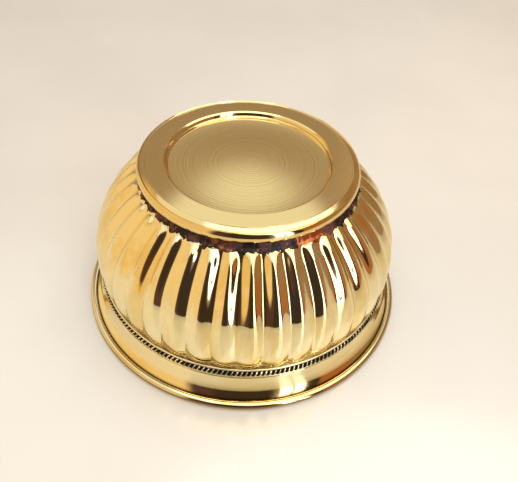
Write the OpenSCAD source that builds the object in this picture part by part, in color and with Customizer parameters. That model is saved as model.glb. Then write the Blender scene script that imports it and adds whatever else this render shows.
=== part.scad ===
// Fluted brass bowl on a turned foot, standing mouth down on its rolled rim.
// Millimetres, +Z up. The origin is the centre of the plane that the rim stands on.

/* [Overall] */
// Diameter over the rolled rim
rim_d = 159; // [157:0.5:164]
// Height from the rim to the flat face of the foot
height = 78.7; // [77:0.1:81]

/* [Lip] */
// Thickness of the lip's sheet
lip_t = 1.0; // [0.8:0.1:1.1]
// Half width of the slightly flattened roll at the edge
roll_w = 2.05; // [1.9:0.05:2.2]
// Half height of the roll
roll_h = 1.8; // [1.6:0.05:1.9]
// Radius of the wire inside the roll
rim_wire_r = 0.85; // [0.6:0.05:0.9]
// How far the cove's top stands inside the rim
cove_inset = 8.3; // [8.1:0.1:8.5]
// Height of the cove's top
cove_top_z = 13.2; // [13:0.1:13.4]
// Radius of the gentle upper part of the cove
upper_cove_r = 30; // [26:1:34]

/* [Rope band] */
// How far the collar under the rope stands inside the rim
collar_inset = 9.4; // [9.2:0.1:9.5]
// Height of the collar's upper edge
collar_top_z = 18.75; // [18.7:0.05:19.2]
// Radius of the rope moulding
rope_r = 1.4; // [1.2:0.05:1.5]
// Height of the rope's centre
rope_z = 15.95; // [15.8:0.05:16.1]
// Radius of the two fine wires beside the rope
fillet_wire_r = 0.5; // [0.4:0.05:0.55]

/* [Body] */
// Thickness of the body's sheet
wall_t = 1.2; // [0.9:0.1:1.4]
// Largest radius of the belly, over the ribs
belly_r = 72.4; // [71.5:0.1:73.5]
// Height of the widest part of the belly
belly_z = 29.4; // [28:0.1:31]
// Height over which the shoulder would close to a point
shoulder_reach = 69; // [68:0.5:72]
// How square the shoulder is
shoulder_power = 2.3; // [2.2:0.05:2.5]
// Depth below the belly over which the body would close to a point
undercut_reach = 64.3; // [60:0.1:70]
// Number of ribs
ribs = 40; // [32:1:48]
// Angle of the first rib from +X
first_rib = 5.3; // [0:0.1:9]
// Depth of the flutes at the shoulder
shoulder_depth = 1.7; // [1:0.1:2]
// Depth of the flutes just above the rope band
belly_depth = 0.7; // [0.4:0.1:1]
// Height of the flat crown of the body
crown_z = 71.1; // [70.8:0.1:71.4]

/* [Foot] */
// Radius over the rounded collar of the foot
foot_r = 49.7; // [49.4:0.05:50]
// Radius of the collar's own rounding
collar_round_r = 3.3; // [3.2:0.05:3.4]
// Radius of the foot's flat face
face_r = 46.15; // [46:0.05:46.3]
// Width of the bevel around the foot's face
bevel_w = 1.75; // [1.6:0.05:1.8]
// Height of that bevel
bevel_h = 0.8; // [0.7:0.05:0.9]
// Radius of the recess where the base disc sits
recess_r = 36.6; // [36:0.1:38]
// Depth of the base disc below the foot's face
recess_depth = 2.6; // [2.2:0.1:3]
// Thickness of the base disc
disc_t = 1.4; // [1.2:0.1:1.6]
// How far the disc's face is dished at its centre
disc_dish = 0.4; // [0.2:0.1:0.6]

/* [Hidden] */
$fn = 120;

brass = [0.84, 0.68, 0.36];
braze = [0.62, 0.43, 0.22];

rim_r = rim_d / 2;
collar_r = rim_r - collar_inset;
skirt_r = collar_r - lip_t;
skirt_drop = 0.2;
skirt_z = cove_top_z - skirt_drop;

// Cove: two arcs that meet smoothly. Angles are those of the surface normal above the horizontal.
cove_top_angle = 12;
cove_join_angle = 24;
braze_angle = 15;
braze_underlap = 0.2;
cove_top = [rim_r - cove_inset, cove_top_z];
upper_cove_c = cove_top + upper_cove_r * [cos(cove_top_angle), sin(cove_top_angle)];
cove_join = upper_cove_c - upper_cove_r * [cos(cove_join_angle), sin(cove_join_angle)];
cove_under_top = cove_top - lip_t * [cos(cove_top_angle), sin(cove_top_angle)];
cove_steps = 5;
wire_steps = 36;
seam_angle = 6;
wire_gap = 0.02;
wire_hole_r = rim_wire_r + wire_gap;

// How deep the wires of the rope band are flattened at the back
rope_bed = 0.9;
wire_bed = 0.1;

// The roll stands a hair below the floor plane and is cut flat there, which gives the rim its land.
land_sink = 0.05;
roll_c = [rim_r - roll_w, roll_h - land_sink];

// The lower cove meets the roll in a groove at this angle round the roll
tuck_angle = 128;
function roll_point(a) = roll_c + [roll_w * cos(a), roll_h * sin(a)];
groove = roll_point(tuck_angle);
join_out = [cos(cove_join_angle), sin(cove_join_angle)];
lower_cove_r = pow(norm(groove - cove_join), 2) / (2 * (groove - cove_join) * join_out);
lower_cove_c = cove_join + lower_cove_r * join_out;

// Under the sheet the roll ends where it runs into the back of the cove
heel_angle = max([
    for (a = [tuck_angle:0.5:200])
        if (norm(roll_point(a) - lower_cove_c) < lower_cove_r + lip_t) a
]);

// Foot
collar_drop = 3.2;
collar_c = [foot_r - collar_round_r, height - collar_drop];
collar_from = 50;
collar_steps = 16;
groove_depth = 0.45;
recess_bevel_w = 1.2;
recess_bevel_h = 1.4;
disc_z = height - recess_depth;
disc_rim_w = 0.8;
disc_rim_h = 0.9;
disc_gap = 0.05;
neck_braze_w = 2.1;
neck_braze_h = 1.25;
neck_braze_steps = 3;
dish_steps = 8;
ledge_w = 3.6;
web_t = 1.6;
root_w = 6.5;
root_r = 47.5;
collar_to = -acos((root_r - collar_c[0]) / collar_round_r);

// Samples of the body: steps around one rib, rows up the outside and rows down the inside
rib_steps = 4;
outer_rows = 12;
inner_rows = 8;
low_tip_run = 3.2;
high_tip_run = 1.4;
row_crowding = 1.3;
slope_step = 0.01;

// ---- body of the bowl -------------------------------------------------------------------------

// Radius over the ribs at a height
function crest_r(z) =
    z > belly_z
    ? belly_r * (1 - pow((z - belly_z) / shoulder_reach, shoulder_power))
    : belly_r * (1 - pow((belly_z - z) / undercut_reach, 2));

// Outward normal of the crest profile, as [radial, up]
function crest_slope(z) = (crest_r(z + slope_step) - crest_r(z - slope_step)) / (2 * slope_step);
function crest_normal(z) = [1, -crest_slope(z)] / norm([1, crest_slope(z)]);

function smooth(t) = let (c = min(1, max(0, t))) c * c * (3 - 2 * c);

// Flute depth at a height: fades out at both ends, and deepens from the belly to the shoulder
function flute_depth(z) =
    let (up = smooth((z - collar_top_z) / (crown_z - high_tip_run - collar_top_z)))
    (belly_depth + (shoulder_depth - belly_depth) * up)
    * smooth((z - collar_top_z) / low_tip_run)
    * smooth((crown_z - z) / high_tip_run);

// A row is [radius, height, flute depth, outward normal]
function sheet_row(z, back) =
    let (n = crest_normal(z))
    [crest_r(z) - back * n[0], z - back * n[1], flute_depth(z), n];

// Heights bunched towards the shoulder, where the profile turns fastest
function row_z(i, count) =
    collar_top_z + (crown_z - collar_top_z) * (1 - pow(1 - i / count, row_crowding));

outside = [
    [skirt_r, skirt_z, 0, [1, 0]],
    [skirt_r, collar_top_z, 0, [1, 0]],
    for (i = [0:outer_rows]) sheet_row(row_z(i, outer_rows), 0),
];
inside = [
    for (i = [inner_rows:-1:1]) sheet_row(row_z(i, inner_rows), wall_t),
    [skirt_r - wall_t, collar_top_z - wall_t, 0, [1, 0]],
    [skirt_r - wall_t, skirt_z, 0, [1, 0]],
];

// One ring of points around the bowl for a row
function ring(row) = [
    for (k = [0:ribs * rib_steps - 1])
        let (
            a = first_rib + 360 * k / (ribs * rib_steps),
            inset = row[2] * (1 - cos(360 * k / rib_steps)) / 2,
            r = row[0] - inset * row[3][0],
            z = row[1] - inset * row[3][1]
        )
        [r * cos(a), r * sin(a), z]
];

// Triangles between two neighbouring rings, seen from outside the sheet
function band(lower, upper, n) = [
    for (k = [0:n - 1])
        let (a = k, b = (k + 1) % n)
        each [
            [lower * n + a, upper * n + b, lower * n + b],
            [lower * n + a, upper * n + a, upper * n + b],
        ]
];

module fluted_body() {
    n = ribs * rib_steps;
    rows = concat(outside, inside);
    last = len(rows) - 1;
    crown = len(outside) - 1;
    crown_face = [[for (k = [n - 1:-1:0]) crown * n + k]];
    ceiling_face = [[for (k = [0:n - 1]) (crown + 1) * n + k]];
    color(brass)
        polyhedron(
            points = [for (row = rows) each ring(row)],
            faces = concat(
                [for (i = [0:crown - 1]) each band(i, i + 1, n)],
                crown_face,
                ceiling_face,
                [for (i = [crown + 1:last - 1]) each band(i, i + 1, n)],
                band(last, 0, n)
            ),
            convexity = 6
        );
}

// ---- lip, rim and rope band -------------------------------------------------------------------

// Points along an arc, from one angle to another
function arc(centre, r, from, to, steps) = [
    for (i = [0:steps])
        let (a = from + (to - from) * i / steps)
        centre + r * [cos(a), sin(a)]
];

function after_first(list) = [for (i = [1:len(list) - 1]) list[i]];

// Direction from a centre to a point, from 0 to 360
function bearing(centre, p) = (atan2(p[1] - centre[1], p[0] - centre[0]) + 360) % 360;

// Face of the cove, shifted into the sheet, from its top to the given point on the roll
function cove_line(shift, end) = concat(
    arc(upper_cove_c, upper_cove_r + shift, 180 + cove_top_angle, 180 + cove_join_angle, cove_steps),
    after_first(arc(
        lower_cove_c, lower_cove_r + shift, 180 + cove_join_angle, bearing(lower_cove_c, end), cove_steps
    ))
);

function reversed(list) = [for (i = [len(list) - 1:-1:0]) list[i]];

// One strip of sheet: down the collar and the cove, under the wire, over it, and tucked in at the groove
module lip_section() {
    seam_end = tuck_angle + 360 - seam_angle;
    heel = roll_point(heel_angle);
    outline = concat(
        [[skirt_r, collar_top_z], [collar_r, collar_top_z], [collar_r, cove_top_z]],
        cove_line(0, groove),
        arc(roll_c, wire_hole_r, tuck_angle, seam_end, wire_steps),
        [for (i = [0:wire_steps]) roll_point(seam_end + (heel_angle - seam_end) * i / wire_steps)],
        reversed(cove_line(lip_t, heel)),
        [[skirt_r, skirt_z]]
    );
    polygon([for (p = outline) [p[0], max(0, p[1])]]);
}

module flared_lip() {
    color(brass)
        rotate_extrude()
            lip_section();
}

module rim_wire() {
    color(brass)
        rotate_extrude()
            translate(roll_c)
                circle(rim_wire_r);
}

// A wire around the collar, flattened at the back where it is soldered on
module band_wire(r, z, bed) {
    rotate_extrude()
        difference() {
            translate([collar_r + r - bed, z])
                circle(r);
            translate([0, z - 2 * r])
                square([collar_r, 4 * r]);
        }
}

module rope_wire() {
    color(brass)
        band_wire(rope_r, rope_z, rope_bed);
}

module upper_fillet_wire() {
    color(brass)
        band_wire(fillet_wire_r, collar_top_z - fillet_wire_r, wire_bed);
}

module lower_fillet_wire() {
    color(brass)
        band_wire(fillet_wire_r, cove_top_z + fillet_wire_r, wire_bed);
}

// Braze that closes the lap between the body's skirt and the lip, on the inside
module lip_braze() {
    color(braze)
        rotate_extrude()
            polygon([
                [skirt_r - wall_t + braze_underlap, skirt_z],
                [cove_under_top[0], skirt_z],
                upper_cove_c - (upper_cove_r + lip_t) * [cos(braze_angle), sin(braze_angle)],
            ]);
}

// ---- foot -------------------------------------------------------------------------------------

// Section of the foot, from the root round by the ledge for the disc, the flat face and the collar
module foot_section() {
    ledge_z = disc_z - disc_t;
    groove_at = [face_r + bevel_w, height - bevel_h];
    polygon(concat(
        [
            [root_r, crown_z],
            [root_r - root_w, crown_z],
            [root_r - root_w, ledge_z - web_t],
            [recess_r - ledge_w, ledge_z - web_t],
            [recess_r - ledge_w, ledge_z],
            [recess_r, ledge_z],
            [recess_r, height - recess_bevel_h],
            [recess_r + recess_bevel_w, height],
            [face_r, height],
            groove_at,
            groove_at - groove_depth * [0, 1],
        ],
        arc(collar_c, collar_round_r, collar_from, collar_to, collar_steps)
    ));
}

module foot_ring() {
    color(brass)
        rotate_extrude()
            foot_section();
}

// Braze fillet in the neck, between the body's crown and the root of the foot
module foot_braze() {
    across = [neck_braze_w, neck_braze_h];
    hollow = arc([1, 1], 1, 270, 180, neck_braze_steps);
    color(braze)
        rotate_extrude()
            translate([root_r, crown_z])
                polygon(concat([[0, 0]], [for (p = hollow) [p[0] * across[0], p[1] * across[1]]]));
}

// Turned disc with a raised, bevelled edge and a face that is flat in the middle and turns up outwards
module base_disc() {
    edge_r = recess_r - disc_gap;
    dish_r = recess_r - disc_rim_w;
    color(brass)
        rotate_extrude()
            polygon([
                [0, disc_z - disc_t],
                [edge_r, disc_z - disc_t],
                [edge_r, disc_z + disc_rim_h],
                for (i = [dish_steps:-1:0])
                    let (t = i / dish_steps)
                    [dish_r * t, disc_z - disc_dish * (1 - pow(t, 4))],
            ]);
}

fluted_body();
flared_lip();
rim_wire();
rope_wire();
upper_fillet_wire();
lower_fillet_wire();
lip_braze();
foot_ring();
foot_braze();
base_disc();
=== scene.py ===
import math

import bmesh
import bpy
import numpy as np
from mathutils import Matrix, Vector


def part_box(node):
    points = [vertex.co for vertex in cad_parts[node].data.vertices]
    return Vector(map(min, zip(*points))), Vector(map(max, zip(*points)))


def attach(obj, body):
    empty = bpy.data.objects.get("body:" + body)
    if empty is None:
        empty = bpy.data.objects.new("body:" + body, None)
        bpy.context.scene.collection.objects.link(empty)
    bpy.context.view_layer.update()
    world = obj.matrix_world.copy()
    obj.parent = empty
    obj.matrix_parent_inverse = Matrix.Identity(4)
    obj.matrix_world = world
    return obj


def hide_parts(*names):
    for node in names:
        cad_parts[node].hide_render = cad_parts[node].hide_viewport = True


bl_info = {
    "name": "Fluted Brass Bowl",
    "version": (1, 0, 0),
    "blender": (4, 5, 0),
    "location": "3D View > Sidebar > Bowl",
    "description": "Makes a fluted brass bowl, standing mouth down on its rolled rim, around its CAD frame",
    "category": "Mesh",
}

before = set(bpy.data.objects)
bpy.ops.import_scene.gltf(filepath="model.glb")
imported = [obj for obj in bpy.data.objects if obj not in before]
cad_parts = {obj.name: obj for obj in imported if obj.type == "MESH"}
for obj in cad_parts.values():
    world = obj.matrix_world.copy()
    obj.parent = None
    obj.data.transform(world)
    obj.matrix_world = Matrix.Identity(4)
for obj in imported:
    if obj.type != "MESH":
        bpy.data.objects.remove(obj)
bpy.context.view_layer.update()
MM = 0.001
FULL_TURN = 2 * math.pi

# ---- sizes read from the frame ------------------------------------------------------------------

LIP_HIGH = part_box("flared_lip")[1]
BODY_LOW, BODY_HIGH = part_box("fluted_body")
ROPE_LOW, ROPE_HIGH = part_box("rope_wire")
UPPER_LOW, UPPER_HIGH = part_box("upper_fillet_wire")
LOWER_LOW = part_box("lower_fillet_wire")[0]
FOOT_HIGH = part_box("foot_ring")[1]
DISC_LOW, DISC_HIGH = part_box("base_disc")
SEAM_LOW, SEAM_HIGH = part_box("lip_braze")
WIRE_LOW, WIRE_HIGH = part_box("rim_wire")

RIM_R = LIP_HIGH.x
COLLAR_TOP = LIP_HIGH.z
FILLET_R = (UPPER_HIGH.z - UPPER_LOW.z) / 2
WIRE_BED = 0.1 * MM
COLLAR_R = UPPER_HIGH.x - 2 * FILLET_R + WIRE_BED
ROPE_R = (ROPE_HIGH.z - ROPE_LOW.z) / 2
ROPE_Z = (ROPE_HIGH.z + ROPE_LOW.z) / 2
ROPE_CENTRE_R = ROPE_HIGH.x - ROPE_R
COVE_TOP_Z = LOWER_LOW.z
BELLY_R = BODY_HIGH.x
CROWN_Z = BODY_HIGH.z
FOOT_TOP = FOOT_HIGH.z
FOOT_R = FOOT_HIGH.x
DISC_R = DISC_HIGH.x


def mm(*values):
    """Sizes given in millimetres, as metres."""
    return [v * MM for v in values]


# ---- what a user may change ---------------------------------------------------------------------


class BowlShape(bpy.types.PropertyGroup):
    ribs: bpy.props.IntProperty(
        name="Ribs", description="Number of ribs around the body", default=40, min=8, max=80)
    first_rib: bpy.props.FloatProperty(
        name="First rib", description="Angle of the first rib from +X",
        default=math.radians(5.3), subtype="ANGLE", unit="ROTATION")
    low_depth: bpy.props.FloatProperty(
        name="Depth at rope", description="Depth of the flutes just above the rope band",
        default=1.0 * MM, unit="LENGTH")
    belly_depth: bpy.props.FloatProperty(
        name="Depth at belly", description="Depth of the flutes at the widest part of the body",
        default=1.4 * MM, unit="LENGTH")
    shoulder_depth: bpy.props.FloatProperty(
        name="Depth at shoulder", description="Depth of the flutes near the foot",
        default=1.6 * MM, unit="LENGTH")
    rope_lays: bpy.props.IntProperty(
        name="Rope lays", description="Full turns of the twisted wire in one round of the bowl",
        default=107, min=20, max=200)


class BowlFinish(bpy.types.PropertyGroup):
    brass: bpy.props.FloatVectorProperty(
        name="Polished brass", description="Colour of the polished brass",
        default=(0.90, 0.79, 0.46), subtype="COLOR", min=0, max=1)
    turned: bpy.props.FloatVectorProperty(
        name="Turned brass", description="Colour of the turned foot and disc",
        default=(0.84, 0.66, 0.31), subtype="COLOR", min=0, max=1)
    braze: bpy.props.FloatVectorProperty(
        name="Braze", description="Colour of the brazing metal",
        default=(0.50, 0.17, 0.06), subtype="COLOR", min=0, max=1)
    residue_and_shade: bpy.props.FloatVectorProperty(
        name="Residue", description="Colour of the burnt flux beside the braze",
        default=(0.010, 0.006, 0.005), subtype="COLOR", min=0, max=1)
    stain: bpy.props.FloatVectorProperty(
        name="Heat stain", description="Colour of thin burnt flux",
        default=(0.115, 0.045, 0.036), subtype="COLOR", min=0, max=1)
    # The corner colour is laid brown in the corners of the body, and also paints the spinning lines and the
    # painted shade in the tuck of the rolled edge
    corner: bpy.props.FloatVectorProperty(
        name="Corner residue", description="Colour of old polish in the corners of the body",
        default=(0.16, 0.07, 0.03), subtype="COLOR", min=0, max=1)
    tarnish: bpy.props.FloatVectorProperty(
        name="Tarnish", description="Colour of thin tarnish on polished brass",
        default=(0.81, 0.61, 0.21), subtype="COLOR", min=0, max=1)


class BowlStage(bpy.types.PropertyGroup):
    floor: bpy.props.FloatVectorProperty(
        name="Floor", description="Colour of the floor", default=(0.76, 0.72, 0.65),
        subtype="COLOR", min=0, max=1)
    light: bpy.props.FloatProperty(
        name="Light", description="Brightness of the studio", default=1.0, min=0)
    focal_length: bpy.props.FloatProperty(
        name="Focal length", description="Focal length of the camera", default=38.94, min=10)
    camera_rise: bpy.props.FloatProperty(
        name="Camera rise", description="Angle of the view below the horizontal",
        default=math.radians(44.44), subtype="ANGLE", unit="ROTATION")
    camera_roll: bpy.props.FloatProperty(
        name="Camera roll", description="Roll of the camera about its view",
        default=math.radians(4.16), subtype="ANGLE", unit="ROTATION")
    camera_distance: bpy.props.FloatProperty(
        name="Camera distance", description="Distance from the camera to what it looks at",
        default=283.6 * MM, unit="LENGTH")


# ---- outlines -----------------------------------------------------------------------------------


def smoothstep(x):
    """0 below 0, 1 above 1, and an even S between."""
    t = np.clip(x, 0.0, 1.0)
    return t * t * (3 - 2 * t)


def waves(turn, terms):
    """A sum of sine waves around the bowl, each given as its height, its count in one round and its shift."""
    return sum(height * np.sin(count * turn + shift) for height, count, shift in terms)


def arc(centre, radius, start, end, steps):
    """Points on an arc in the (radius, height) plane. Angles are in degrees."""
    angles = np.radians(np.linspace(start, end, steps + 1))
    return np.column_stack([centre[0] + radius * np.cos(angles), centre[1] + radius * np.sin(angles)])


def rounded(corners, steps=4):
    """A closed outline from (radius, height, rounding) corners, with each corner rounded off."""
    points = np.array([c[:2] for c in corners], float)
    outline = []
    for i, corner in enumerate(corners):
        here = points[i]
        back = points[i - 1] - here
        ahead = points[(i + 1) % len(points)] - here
        if corner[2] <= 0:
            outline.append(here)
            continue
        back_u, ahead_u = back / np.linalg.norm(back), ahead / np.linalg.norm(ahead)
        half = math.acos(np.clip(np.dot(back_u, ahead_u), -1, 1)) / 2
        longest = 0.48 * min(np.linalg.norm(back), np.linalg.norm(ahead))
        reach = min(corner[2] / math.tan(half), longest)
        start, end = here + back_u * reach, here + ahead_u * reach
        for t in np.linspace(0, 1, steps + 1):
            outline.append((1 - t) ** 2 * start + 2 * t * (1 - t) * here + t ** 2 * end)
    return np.array(outline)


def filled_in(outline, spacing):
    """The outline with more points on its long straight stretches."""
    result = []
    for a, b in zip(outline, np.roll(outline, -1, axis=0)):
        count = max(1, int(np.linalg.norm(b - a) / spacing))
        result.extend(a + (b - a) * i / count for i in range(count))
    return np.array(result)


# ---- meshes -------------------------------------------------------------------------------------


def mesh_object(name, points, faces, sharp_angle):
    """A smooth-shaded object whose edges stay sharp above an angle in degrees."""
    mesh = bpy.data.meshes.new(name)
    mesh.from_pydata(points.tolist(), [], faces)
    build = bmesh.new()
    build.from_mesh(mesh)
    bmesh.ops.remove_doubles(build, verts=build.verts, dist=1e-7)
    bmesh.ops.recalc_face_normals(build, faces=build.faces)
    build.to_mesh(mesh)
    build.free()
    mesh.shade_smooth()
    mesh.set_sharp_from_angle(angle=math.radians(sharp_angle))
    obj = bpy.data.objects.new(name, mesh)
    bpy.context.scene.collection.objects.link(obj)
    return obj


def grid_faces(rings, around, closed_rings):
    """Quads of a grid of rings that each close on themselves."""
    faces = []
    for i in range(rings if closed_rings else rings - 1):
        a, b = i * around, ((i + 1) % rings) * around
        faces.extend((a + k, a + (k + 1) % around, b + (k + 1) % around, b + k) for k in range(around))
    return faces


def turned_piece(name, outline, steps, sharp_angle=40, wobble=None):
    """A closed outline turned about the bowl's axis. wobble may shift its points with the angle."""
    turn = np.linspace(0, FULL_TURN, steps, endpoint=False)
    radius = np.repeat(outline[:, :1], steps, axis=1)
    height = np.repeat(outline[:, 1:], steps, axis=1)
    if wobble:
        radius, height = wobble(radius, height, np.tile(turn, (len(outline), 1)))
    points = np.stack([radius * np.cos(turn), radius * np.sin(turn), height], axis=-1).reshape(-1, 3)
    return mesh_object(name, points, grid_faces(len(outline), steps, True), sharp_angle)


def finish_piece(obj, node, material):
    """Puts a piece on the frame in place of a CAD node and material."""
    obj.data.materials.clear()
    obj.data.materials.append(material)
    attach(obj, "root")
    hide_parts(node)
    return obj


# ---- materials ----------------------------------------------------------------------------------


class NodeSheet:
    """Short calls for laying out a material's nodes."""

    def __init__(self, tree, keep=False):
        self.tree = tree
        if not keep:
            tree.nodes.clear()

    def add(self, kind, **settings):
        node = self.tree.nodes.new(kind)
        for key, value in settings.items():
            setattr(node, key, value)
        return node

    def join(self, source, target):
        self.tree.links.new(source, target)

    def put(self, value, socket):
        """Links a socket, or sets a plain value."""
        if isinstance(value, bpy.types.NodeSocket):
            self.join(value, socket)
        else:
            socket.default_value = value

    def maths(self, operation, a, b=0.0, c=0.0, clamp=False):
        node = self.add("ShaderNodeMath", operation=operation, use_clamp=clamp)
        for value, socket in zip((a, b, c), node.inputs):
            self.put(value, socket)
        return node.outputs[0]

    def ramp(self, value, low, high, to_low=0.0, to_high=1.0, kind="SMOOTHSTEP"):
        node = self.add("ShaderNodeMapRange", interpolation_type=kind)
        for item, socket in zip((value, low, high, to_low, to_high), node.inputs):
            self.put(item, socket)
        return node.outputs[0]

    def mix(self, amount, a, b):
        node = self.add("ShaderNodeMix", data_type="RGBA")
        self.put(amount, node.inputs["Factor"])
        self.put(a, node.inputs[6])
        self.put(b, node.inputs[7])
        return node.outputs[2]

    def noise(self, vector, scale, detail=3.0, roughness=0.5, distortion=0.0):
        node = self.add("ShaderNodeTexNoise")
        self.put(vector, node.inputs["Vector"])
        node.inputs["Scale"].default_value = scale
        node.inputs["Detail"].default_value = detail
        node.inputs["Roughness"].default_value = roughness
        node.inputs["Distortion"].default_value = distortion
        return node.outputs["Fac"]

    def rings(self, radius, scale, detail=2.0):
        """Noise that changes only with the distance from the axis, as tool marks do."""
        node = self.add("ShaderNodeTexNoise", noise_dimensions="1D")
        self.join(radius, node.inputs["W"])
        node.inputs["Scale"].default_value = scale
        node.inputs["Detail"].default_value = detail
        return node.outputs["Fac"]

    def bump(self, height, strength, distance, normal=None):
        node = self.add("ShaderNodeBump")
        node.inputs["Strength"].default_value = strength
        node.inputs["Distance"].default_value = distance
        self.join(height, node.inputs["Height"])
        if normal:
            self.join(normal, node.inputs["Normal"])
        return node.outputs["Normal"]


def rgba(colour):
    return (*colour, 1.0)


def new_metal(name):
    """A material with a metal shader; returns it, its sheet, its shader and the object coordinates."""
    material = bpy.data.materials.new(name)
    material.use_nodes = True
    sheet = NodeSheet(material.node_tree)
    shader = sheet.add("ShaderNodeBsdfPrincipled")
    shader.inputs["Metallic"].default_value = 1.0
    output = sheet.add("ShaderNodeOutputMaterial")
    sheet.join(shader.outputs[0], output.inputs[0])
    place = sheet.add("ShaderNodeTexCoord").outputs["Object"]
    return material, sheet, shader, place


def axis_distance(sheet, place):
    split = sheet.add("ShaderNodeSeparateXYZ")
    sheet.join(place, split.inputs[0])
    flat = sheet.maths("ADD", sheet.maths("POWER", split.outputs[0], 2.0),
                       sheet.maths("POWER", split.outputs[1], 2.0))
    return sheet.maths("SQRT", flat)


def polished_brass(name, colour, tarnish, gloss, scratch_scale, tarnish_share=0.35):
    """Buffed brass: soft tarnish clouds, faint buffing lines and a slightly uneven surface."""
    material, sheet, shader, place = new_metal(name)
    clouds = sheet.noise(place, 45.0, 4.0, 0.6)
    specks = sheet.ramp(sheet.noise(place, 900.0, 2.0), 0.66, 0.74)
    cloud_share = sheet.ramp(clouds, 0.48, 0.72, 0.0, tarnish_share)
    share = sheet.maths("MAXIMUM", cloud_share, sheet.maths("MULTIPLY", specks, 0.5))
    stretch = sheet.add("ShaderNodeMapping")
    stretch.inputs["Scale"].default_value = scratch_scale
    sheet.join(place, stretch.inputs["Vector"])
    lines = sheet.noise(stretch.outputs[0], 60.0, 5.0, 0.7)
    streaks = sheet.ramp(lines, 0.44, 0.60, 0.0, 0.75)
    share = sheet.maths("MAXIMUM", share, streaks)
    sheet.join(sheet.mix(share, rgba(colour), rgba(tarnish)), shader.inputs["Base Color"])
    rough = sheet.ramp(sheet.maths("ADD", lines, sheet.maths("MULTIPLY", clouds, 0.6)),
                       0.6, 1.1, gloss, gloss * 2.2, "LINEAR")
    sheet.join(rough, shader.inputs["Roughness"])
    fine = sheet.bump(lines, 0.25, 0.02 * MM)
    waviness = sheet.noise(place, 120.0, 2.0)
    sheet.join(sheet.bump(waviness, 0.35, 0.06 * MM, fine), shader.inputs["Normal"])
    return material


# Reach of the brown darkening out from the collar and up above it: full to the first, none past the second
CORNER_REACH = (0.25 * MM, 0.85 * MM)
CORNER_RISE = (1.6 * MM, 3.6 * MM)


def add_corner_darkening(material, residue_and_shade):
    """Brown darkening laid into the creases just above the rope band."""
    tree = material.node_tree
    shader = next(n for n in tree.nodes if n.type == "BSDF_PRINCIPLED")
    sheet = NodeSheet(tree, keep=True)
    place = sheet.add("ShaderNodeTexCoord").outputs["Object"]
    split = sheet.add("ShaderNodeSeparateXYZ")
    sheet.join(place, split.inputs[0])
    near, far = (COLLAR_R + reach for reach in CORNER_REACH)
    bottom, top = (COLLAR_TOP + rise for rise in CORNER_RISE)
    deep = sheet.ramp(axis_distance(sheet, place), near, far, 1.0, 0.0)
    low = sheet.ramp(split.outputs[2], bottom, top, 1.0, 0.0)
    patchy = sheet.ramp(sheet.noise(place, 300.0, 2.0), 0.3, 0.6, 0.45, 0.95)
    share = sheet.maths("MULTIPLY", sheet.maths("MULTIPLY", deep, low), patchy)
    polished = shader.inputs["Base Color"].links[0].from_socket
    sheet.join(sheet.mix(share, polished, rgba(residue_and_shade)), shader.inputs["Base Color"])
    gloss = shader.inputs["Roughness"].links[0].from_socket
    rougher = sheet.maths("MULTIPLY", share, 0.3)
    sheet.join(sheet.maths("ADD", gloss, rougher), shader.inputs["Roughness"])


# Radii on the rolled edge: where the spinning lines fade in, and the tuck, where shade is painted into the
# groove
LINES_FROM_R, LINES_FULL_R = RIM_R - 4.3 * MM, RIM_R - 3.7 * MM
TUCK_R = RIM_R - 3.35 * MM
TUCK_NEAR, TUCK_FAR = 0.12 * MM, 0.35 * MM


def add_spinning_marks_and_tuck_shade(material, residue_and_shade):
    """Fine dark lines left by the spinning tool around the rolled edge, and painted shade in the tuck where
    the cove meets the roll.
    """
    tree = material.node_tree
    shader = next(n for n in tree.nodes if n.type == "BSDF_PRINCIPLED")
    sheet = NodeSheet(tree, keep=True)
    radius = axis_distance(sheet, sheet.add("ShaderNodeTexCoord").outputs["Object"])
    lines = sheet.ramp(sheet.rings(radius, 2600.0, 1.0), 0.48, 0.58, 0.0, 0.8)
    on_roll_only = sheet.ramp(radius, LINES_FROM_R, LINES_FULL_R)
    polished = shader.inputs["Base Color"].links[0].from_socket
    share = sheet.maths("MULTIPLY", lines, on_roll_only)
    sheet.join(sheet.mix(share, polished, rgba(residue_and_shade)), shader.inputs["Base Color"])
    # painted shade: a dark band in the corner colour laid along the groove where the cove meets the roll
    from_tuck = sheet.maths("ABSOLUTE", sheet.maths("SUBTRACT", radius, TUCK_R))
    tuck_shade = sheet.ramp(from_tuck, TUCK_NEAR, TUCK_FAR, 0.85, 0.0)
    with_lines = shader.inputs["Base Color"].links[0].from_socket
    sheet.join(sheet.mix(tuck_shade, with_lines, rgba(residue_and_shade)), shader.inputs["Base Color"])


def turned_brass(name, colour, tarnish, gloss, mark_depth):
    """Brass faced on a lathe: fine rings of tool marks that blur reflections across them."""
    material, sheet, shader, place = new_metal(name)
    radius = axis_distance(sheet, place)
    wide_rings = sheet.rings(radius, 900.0)
    fine_rings = sheet.rings(radius, 5200.0, 1.0)
    clouds = sheet.noise(place, 38.0, 4.0, 0.6)
    share = sheet.maths("ADD", sheet.ramp(wide_rings, 0.4, 0.75, 0.0, 0.35),
                        sheet.ramp(clouds, 0.45, 0.75, 0.0, 0.35), clamp=True)
    sheet.join(sheet.mix(share, rgba(colour), rgba(tarnish)), shader.inputs["Base Color"])
    rough = sheet.ramp(wide_rings, 0.3, 0.7, gloss, gloss * 1.8, "LINEAR")
    sheet.join(rough, shader.inputs["Roughness"])
    shader.inputs["Anisotropic"].default_value = 0.3
    tangent = sheet.add("ShaderNodeTangent", direction_type="RADIAL", axis="Z")
    sheet.join(tangent.outputs[0], shader.inputs["Tangent"])
    marks = sheet.bump(fine_rings, 0.6, mark_depth)
    sheet.join(sheet.bump(wide_rings, 0.5, 2 * mark_depth, marks), shader.inputs["Normal"])
    return material


# Where the braze was wiped clean, and how far that reaches
COPPER_PATCH = mm(27.0, -41.5, 71.3)
COPPER_PATCH_R = 8.5 * MM


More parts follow.
